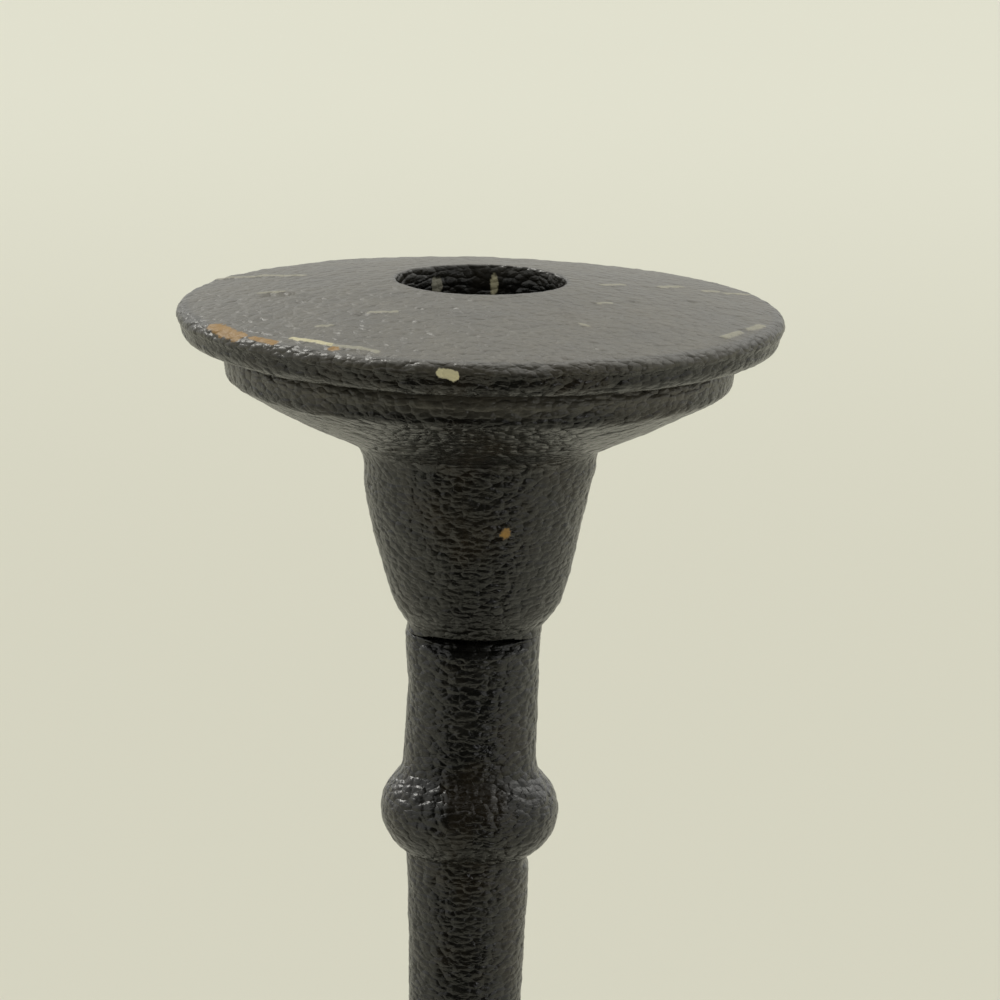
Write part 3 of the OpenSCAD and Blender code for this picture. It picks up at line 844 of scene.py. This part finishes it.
@dataclass
class Knop:
    """Short neck that flares into a round bead, bead down under the cup or bead up on the base."""

    node: str
    end: End
    name: str
    height: float
    end_r: float = 8.95
    neck_r: float = 8.8
    waist: float = 0.15
    fillet: float = 4.0
    bead_r: float = 11.85
    bead_round: float = 6.4
    bead_mid_h: float = 5.3
    edge: float = 0.5
    bore_r: float = 4.5
    recess_r: float = 6.15
    recess_h: float = 3.3
    spigot_r: float = 6.0
    spigot_h: float = 3.0
    chamfer: float = 0.5
    columns: int = 240
    dents: list[Dent] = field(default_factory=list)
    seed: float = 11.0

    def _side(self) -> Outline:
        """Outside of the knop, from the bead's lip to its plain end."""
        mid_r = self.bead_r - self.bead_round
        low = math.degrees(math.asin(self.bead_mid_h / self.bead_round))
        lip_r = mid_r + self.bead_round * math.cos(math.radians(low))
        fillet_x = self.neck_r + self.fillet
        rise = math.sqrt((self.bead_round + self.fillet) ** 2 - (fillet_x - mid_r) ** 2)
        high = math.degrees(math.atan2(rise, fillet_x - mid_r))
        o = Outline(lip_r, 0)
        o.arc(mid_r, self.bead_mid_h, self.bead_round, -low, high, 0.3, 1.2)
        o.arc(fillet_x, self.bead_mid_h + rise, self.fillet, 180 + high, 180, 0.3)
        o.bow(self.end_r, self.height - self.edge, -self.waist, 0.32)
        return o.arc(self.end_r - self.edge, self.height - self.edge, self.edge, 0, 90, 0.2, 0.4)

    def outline(self) -> Outline:
        """Closed outline: recess, outside, spigot and bore."""
        side = self._side()
        if self.end is End.UP:
            side = side.flipped(self.height)
        top = self.height + self.spigot_h
        o = Outline(self.bore_r, self.recess_h)
        o.line(self.recess_r, self.recess_h, 1, 0).line(self.recess_r, 0, 1, 0)
        o.line(side.points[0][0], 0, 1, 0).follow(side)
        o.line(self.spigot_r, self.height, 1, 0)
        o.line(self.spigot_r, top - self.chamfer, 1, 0)
        o.line(self.spigot_r - self.chamfer, top, 1, 0)
        return o.line(self.bore_r, top, 1, 0).line(self.bore_r, self.recess_h, 3, 0)

    def build(self, turning: TurningTree, material: bpy.types.Material) -> bpy.types.Object:
        """Makes the knop and dresses it."""
        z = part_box(self.node)[0].z / MM
        section = Section(self.columns, Relief(lump=0.22, lump_size=9.0, seed=self.seed))
        piece = turning.turn(self.name, self.outline().lifted(z), section, material)
        knock(piece, self.dents, [])
        settle(piece, Slot.IRON, self.node)
        return piece


@dataclass
class Column:
    """Plain round column, drawn in towards its middle."""

    height: float = 91.3
    end_r: float = 8.2
    waist: float = 0.9
    edge: float = 0.4
    bore_r: float = 4.5
    recess_r: float = 6.15
    recess_h: float = 3.3
    spigot_r: float = 6.0
    spigot_h: float = 3.0
    chamfer: float = 0.5
    columns: int = 200

    def outline(self) -> Outline:
        """Closed outline: recess, outside, spigot and bore."""
        top = self.height + self.spigot_h
        o = Outline(self.bore_r, self.recess_h)
        o.line(self.recess_r, self.recess_h, 1, 0).line(self.recess_r, 0, 1, 0)
        o.arc(self.end_r - self.edge, self.edge, self.edge, -90, 0, 0.2, 0.3)
        o.bow(self.end_r, self.height - self.edge, -self.waist, 0.33)
        o.arc(self.end_r - self.edge, self.height - self.edge, self.edge, 0, 90, 0.2, 0.3, 0.3)
        o.line(self.spigot_r, self.height, 1, 0).line(self.spigot_r, top - self.chamfer, 1, 0)
        o.line(self.spigot_r - self.chamfer, top, 1, 0)
        return o.line(self.bore_r, top, 1, 0).line(self.bore_r, self.recess_h, 5, 0)

    def build(self, turning: TurningTree, material: bpy.types.Material) -> bpy.types.Object:
        """Makes the column and dresses it."""
        z, top = (corner.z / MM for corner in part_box("column"))
        shoulder = top - self.spigot_h
        section = Section(self.columns, Relief(lump=0.24, lump_size=13.0, seed=17.0))
        piece = turning.turn("round_column", self.outline().lifted(z), section, material)
        knock(piece, [Dent(self.end_r, 90, shoulder - 1.4, 3.5, 0.6, 2, 0.45)], [])
        settle(piece, Slot.IRON, "column")
        return piece


@dataclass
class Base:
    """Hollow base with a rim, a step, a flare and a bell, and a boss for the nut."""

    base_r: float = 56.0
    rim_h: float = 5.0
    rim_round: float = 2.4
    rim_edge: float = 0.8
    step_r: float = 46.5
    step_h: float = 4.5
    flare_h: float = 12.0
    flare_dip: float = 1.2
    bell_low_r: float = 17.5
    bell_top_r: float = 12.2
    bell_h: float = 23.0
    bell_bulge: float = 0.6
    bell_round: float = 3.0
    wall: float = 4.5
    foot_ring_w: float = 9.7
    boss_r: float = 11.0
    boss_drop: float = 14.0
    bore_r: float = 4.5
    spigot_r: float = 6.0
    spigot_h: float = 3.0
    chamfer: float = 0.5
    columns: int = 440

    def outline(self) -> Outline:
        """Closed outline: boss, hollow, outside, spigot and bore."""
        step_z = self.rim_h + self.step_h
        bell_z = step_z + self.flare_h
        height = bell_z + self.bell_h
        shoulder_z = height - self.bell_round
        slope = self.flare_h / (self.step_r - self.bell_low_r)
        drop = self.wall * math.hypot(1, slope) + self.flare_dip
        hollow_r = self.base_r - self.foot_ring_w
        top = height + self.spigot_h
        o = Outline(self.bore_r, self.boss_drop)
        o.line(self.boss_r, self.boss_drop, 1.5, 0.5).line(self.boss_r, bell_z - drop, 0.5, 0.8)
        o.line(self.bell_low_r, bell_z - drop, 1)
        o.line(hollow_r - self.wall / 2, step_z - drop, 1).line(hollow_r, 0, 0.8, 0.6)
        o.arc(self.base_r - self.rim_edge, self.rim_edge, self.rim_edge, -90, 0, 0.3, 0.6)
        o.arc(self.base_r - self.rim_round, self.rim_h - self.rim_round, self.rim_round, 0, 90, 0.5, 1, 0.5)
        o.line(self.step_r, self.rim_h, 0.6, 1, 1).line(self.step_r, step_z, 0.5)
        o.bow(self.bell_low_r, bell_z, -self.flare_dip, 0.6, 1, 0.8)
        o.bow(self.bell_top_r, shoulder_z, self.bell_bulge, 0.5)
        o.arc(self.bell_top_r - self.bell_round, shoulder_z, self.bell_round, 0, 90, 0.4, 1, 0.5)
        o.line(self.spigot_r, height, 1, 0).line(self.spigot_r, top - self.chamfer, 1, 0)
        o.line(self.spigot_r - self.chamfer, top, 1, 0)
        return o.line(self.bore_r, top, 1, 0).line(self.bore_r, self.boss_drop, 5, 0)

    def build(self, turning: TurningTree, material: bpy.types.Material) -> bpy.types.Object:
        """Makes the base and dresses it."""
        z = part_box("base")[0].z / MM
        section = Section(self.columns, Relief(lump=0.22, lump_size=20.0, ripple_size=3.6, seed=23.0))
        piece = turning.turn("stepped_base", self.outline().lifted(z), section, material)
        knock(piece, [], [])
        settle(piece, Slot.IRON, "base")
        return piece


@dataclass
class TieRod:
    """Rod threaded at both ends, with the nut and washers that pull the castings together."""

    rod_r: float = 4.0
    pitch: float = 1.25
    depth: float = 0.65
    thread_len: float = 25.0
    point: float = 0.6
    nut_af: float = 13.0
    nut_h: float = 6.5
    bore_r: float = 4.05
    washer_r: float = 8.0
    washer_t: float = 1.6
    edge: float = 0.2

    def rod_outline(self, low: float, high: float) -> Outline:
        """Outline of the rod between two heights, threaded near both."""
        fine = self.pitch / 8
        tip = self.rod_r - self.depth
        o = Outline(0, low).line(tip, low, 1, 0)
        o.line(self.rod_r, low + self.point, fine, 1).line(self.rod_r, low + self.thread_len, fine, 1)
        o.line(self.rod_r, high - self.thread_len, 3, 0).line(self.rod_r, high - self.point, fine, 1)
        return o.line(tip, high, fine, 0).line(0, high, 1, 0)

    def nut_outline(self, z: float) -> Outline:
        """Closed outline of the nut, chamfered on both faces."""
        flat, corner = self.nut_af / 2, self.nut_af / math.sqrt(3)
        fall = (corner - flat) * math.tan(math.radians(30))
        o = Outline(self.bore_r, z + self.nut_h).line(self.bore_r, z, 1, 0)
        o.line(self.bore_r + self.edge, z, 0.2, 0).line(flat - self.edge, z, 1, 0)
        o.line(corner, z + fall, 0.3, 0).line(corner, z + self.nut_h - fall, 0.8, 0)
        return o.line(flat - self.edge, z + self.nut_h, 0.3, 0).line(self.bore_r, z + self.nut_h, 1, 0)

    def washer_outline(self, z: float) -> Outline:
        """Closed outline of the plain washer, its edges rolled by the press."""
        e, top = self.edge, z + self.washer_t
        o = Outline(self.bore_r, top).line(self.bore_r, z, 0.6, 0)
        o.line(self.washer_r - e, z, 1, 0).arc(self.washer_r - e, z + e, e, -90, 0, 0.1, 0)
        return o.arc(self.washer_r - e, top - e, e, 0, 90, 0.1, 0).line(self.bore_r, top, 1, 0)

    def build(self, turning: TurningTree, material: bpy.types.Material) -> None:
        """Makes the rod, the nut and the plain washer, and dresses the spring washer."""
        low, high = (corner.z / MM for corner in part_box("tie_rod"))
        thread = Section(48, None, 0.0, self.pitch, self.depth)
        rod = turning.turn("threaded_rod", self.rod_outline(low, high), thread, material)
        settle(rod, Slot.STEEL, "tie_rod")
        nut_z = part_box("hex_nut")[0].z / MM
        nut = turning.turn("nut", self.nut_outline(nut_z), Section(120, None, self.nut_af), material)
        settle(nut, Slot.STEEL, "hex_nut")
        washer_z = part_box("plain_washer")[0].z / MM
        washer = turning.turn("flat_washer", self.washer_outline(washer_z), Section(72), material)
        settle(washer, Slot.STEEL, "plain_washer")
        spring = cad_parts["spring_washer"]
        spring.data.materials.clear()
        spring.data.materials.append(material)


@dataclass
class FeltRing:
    """Felt ring under the base's foot ring, its edges cut by hand."""

    edge: float = 0.35
    columns: int = 300

    def build(self, turning: TurningTree, material: bpy.types.Material) -> None:
        """Makes the ring from the frame's own sizes and dresses it."""
        low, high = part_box("felt_ring")
        places = places_of(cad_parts["felt_ring"].data) / MM
        inner = float(np.hypot(places[:, 0], places[:, 1]).min())
        outer, top, e = high.x / MM, high.z / MM, self.edge
        o = Outline(inner, top).line(inner, e, 0.4, 1).arc(inner + e, e, e, 180, 270, 0.2, 0.5)
        o.line(outer - e, 0, 0.8, 0.5).arc(outer - e, e, e, -90, 0, 0.2, 0.5)
        o.line(outer, top, 0.4, 1).line(inner, top, 2, 0)
        relief = Relief(lump=0.1, lump_size=8.0, ripple=0.05, ripple_size=1.5, grain=0.03, grain_size=0.8, flatness=1)
        piece = turning.turn("felt_foot", o, Section(self.columns, relief), material)
        settle(piece, Slot.FELT, "felt_ring")


@dataclass
class Studio:
    """Pale paper floor, soft light from above and behind, and a dark side towards the camera."""

    paper_far: str = "#e2e2d5"
    paper_near: str = "#d6d5c7"
    floor_r: float = 12.0
    sky: float = 0.50
    seen_sky: float = 0.80
    sun: float = 0.50
    screen_near: float = 0.24
    screen_r: float = 0.60
    screen_turn: float = 48.0
    screen_rise: float = 55.0
    lamp_turn: float = 38.0
    lamp_rise: float = 10.0
    lamp_size: float = 0.12
    lamp_r: float = 0.9
    lamp_watts: float = 0.4

    def floor(self) -> None:
        """Lays the paper floor, its colour painted darker towards the camera as painted shade."""
        bpy.ops.mesh.primitive_circle_add(vertices=96, radius=self.floor_r, fill_type="NGON")
        floor = bpy.context.object
        floor.name = "paper_floor"
        s = Shader("seamless paper")
        away = add(s.tree, "ShaderNodeSeparateXYZ", {0: s.place}).outputs["Y"]
        # Painted shade: the paper's colour runs darker towards the camera and lighter far away.
        colour = s.mix(s.ramp(away, 0.6, 2.0), linear(self.paper_near), linear(self.paper_far))
        s.set(Base_Color=colour, Roughness=0.9)
        s.surface.inputs["Specular IOR Level"].default_value = 0.0
        floor.data.materials.append(s.material)

    def screen(self) -> None:
        """Stands a black screen in front, which only shines back in glossy surfaces."""
        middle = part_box("column")[1].z
        wall = [(self.screen_r, middle), *(
            (self.screen_r * math.cos(a), middle + self.screen_r * math.sin(a))
            for a in np.radians(np.arange(6, self.screen_rise + 12, 6))
        )]
        rings = [(self.screen_near * 0.7, 0.001), (self.screen_r, 0.002), *wall]
        turns = np.radians(np.linspace(-75, 75, 61))
        verts = [(r * math.sin(a), -r * math.cos(a), z) for r, z in rings for a in turns]
        n = len(turns)
        faces = [(k + i, k + i + 1, k + n + i + 1, k + n + i)
                 for k in range(0, n * (len(rings) - 1), n) for i in range(n - 1)]
        mesh = bpy.data.meshes.new("black_screen")
        mesh.from_pydata(verts, [], faces)
        screen = bpy.data.objects.new("black_screen", mesh)
        bpy.context.scene.collection.objects.link(screen)
        s = Shader("black screen")
        at = add(s.tree, "ShaderNodeSeparateXYZ", {0: s.place}).outputs
        flat = s.math("SQRT", s.math("ADD", s.math("MULTIPLY", at["X"], at["X"]), s.math("MULTIPLY", at["Y"], at["Y"])))
        turn = s.math("ARCTAN2", s.math("ABSOLUTE", at["X"]), s.math("MULTIPLY", at["Y"], -1.0))
        rise = s.math("ARCTAN2", s.math("SUBTRACT", at["Z"], middle), flat)
        side = s.ramp(turn, math.radians(self.screen_turn + 12), math.radians(self.screen_turn - 12))
        above = s.ramp(rise, math.radians(self.screen_rise + 8), math.radians(self.screen_rise - 8))
        below = s.ramp(flat, self.screen_near * 0.75, self.screen_near * 1.25)
        black = s.math("MULTIPLY", s.math("MULTIPLY", side, above), below)
        clear = add(s.tree, "ShaderNodeBsdfTransparent").outputs[0]
        s.set(Base_Color=(0.0, 0.0, 0.0, 1.0), Roughness=1.0)
        s.surface.inputs["Specular IOR Level"].default_value = 0.0
        both = add(s.tree, "ShaderNodeMixShader", {0: black, 1: clear, 2: s.surface.outputs[0]})
        s.tree.links.new(both.outputs[0], s.out.inputs["Surface"])
        mesh.materials.append(s.material)
        screen.visible_camera = screen.visible_diffuse = screen.visible_shadow = False
        screen.visible_transmission = screen.visible_volume_scatter = False

    def lights(self) -> None:
        """Sets the sky, two soft suns high behind the candlestick, and a small lamp in front."""
        world = bpy.data.worlds.new("studio")
        bpy.context.scene.world = world
        world.use_nodes = True
        t = world.node_tree
        t.nodes.clear()
        path = add(t, "ShaderNodeLightPath").outputs
        seen = add(t, "ShaderNodeMath", {0: path["Is Camera Ray"], 1: path["Is Glossy Ray"]}, operation="MAXIMUM")
        seen = add(t, "ShaderNodeMath", {0: seen.outputs[0], 1: path["Is Transmission Ray"]}, operation="MAXIMUM")
        strength = add(t, "ShaderNodeMapRange", {
            "Value": seen.outputs[0], "To Min": self.sky, "To Max": self.seen_sky,
        })
        sky = add(t, "ShaderNodeBackground", {"Color": linear("#fdfdf8"), "Strength": strength.outputs[0]})
        add(t, "ShaderNodeOutputWorld", {"Surface": sky.outputs[0]})
        for name, azimuth, rise, share, angle in (("left", -140, 42, 0.5, 24), ("right", 140, 55, 0.5, 70)):
            sun = bpy.data.lights.new(f"sun_{name}", "SUN")
            sun.energy = self.sun * share * math.pi / math.sin(math.radians(rise))
            sun.angle = math.radians(angle)
            sun.color = linear("#fffdf6")[:3]
            self._aim(sun, azimuth, rise, 1.0)
        lamp = bpy.data.lights.new("lamp", "AREA")
        lamp.shape = "DISK"
        lamp.size = self.lamp_size
        lamp.energy = self.lamp_watts
        self._aim(lamp, self.lamp_turn, self.lamp_rise, self.lamp_r)

    def _aim(self, light: bpy.types.Light, azimuth: float, rise: float, distance: float) -> None:
        """Hangs a light at an azimuth and a rise, pointing at the candlestick."""
        lit = bpy.data.objects.new(light.name, light)
        bpy.context.scene.collection.objects.link(lit)
        a = math.radians(rise)
        way = polar(math.cos(a), azimuth, math.sin(a))
        lit.location = way * distance + Vector((0, 0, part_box("column")[1].z))
        lit.rotation_euler = way.to_track_quat("Z", "Y").to_euler()

    def build(self) -> None:
        """Builds the floor, the screen and the light."""
        self.floor()
        self.screen()
        self.lights()
        bpy.context.scene.view_settings.view_transform = "Standard"


@dataclass
class Camera:
    """The photograph's camera: place and turn, with its focal length in image widths."""

    distance: float = 0.600
    above_pan: float = 0.10486
    focal_widths: float = 4.68094
    pitch: float = 12.607
    yaw: float = 0.297
    roll: float = 1.393
    sensor_mm: float = 36.0

    def build(self) -> None:
        """Places the camera and makes it the scene's own."""
        data = bpy.data.cameras.new("camera")
        data.sensor_width = self.sensor_mm
        data.lens = self.focal_widths * self.sensor_mm
        data.clip_start = 0.01
        data.clip_end = 100.0
        camera = bpy.data.objects.new("camera", data)
        bpy.context.scene.collection.objects.link(camera)
        p, w, r = (math.radians(a) for a in (self.pitch, self.yaw, self.roll))
        ahead = Vector((math.sin(w) * math.cos(p), math.cos(w) * math.cos(p), -math.sin(p)))
        right = ahead.cross(Vector((0, 0, 1))).normalized()
        up = right.cross(ahead)
        side = right * math.cos(r) + up * math.sin(r)
        over = up * math.cos(r) - right * math.sin(r)
        turned = Matrix((side, over, -ahead)).transposed().to_4x4()
        pan_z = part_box("head")[1].z
        camera.matrix_world = Matrix.Translation((0, -self.distance, pan_z + self.above_pan)) @ turned
        bpy.context.scene.camera = camera


def main() -> None:
    """Builds the studio, then the castings from the top down, then what holds them together."""
    logging.basicConfig(level=logging.INFO, format="%(name)s: %(message)s")
    Camera().build()
    Studio().build()
    turning = TurningTree()
    head_z, top_z = (corner.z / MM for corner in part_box("head"))
    iron = PaintedIron().material("black paint on cast iron")
    Head().build(turning, iron)
    neck_dents = [
        Dent(8.9, 0, head_z - 0.55, 7.8, 0.95, 2.0, 1.1, 3.0),
        Dent(8.8, -90, top_z - 54, 5, 2.5, 3, 0.25),
        Dent(11, -90, top_z - 74.8, 8, 2.2, 4, 0.3),
    ]
    Knop("neck_knop", End.DOWN, "neck_and_bead", 29.9, dents=neck_dents).build(turning, iron)
    Column().build(turning, iron)
    Knop("foot_knop", End.UP, "foot_and_bead", 26.0, seed=31.0).build(turning, iron)
    Base().build(turning, iron)
    TieRod().build(turning, ZincSteel().material("zinc plated steel"))
    FeltRing().build(turning, WoolFelt().material("pressed wool felt"))


if __name__ == "__main__":
    main()
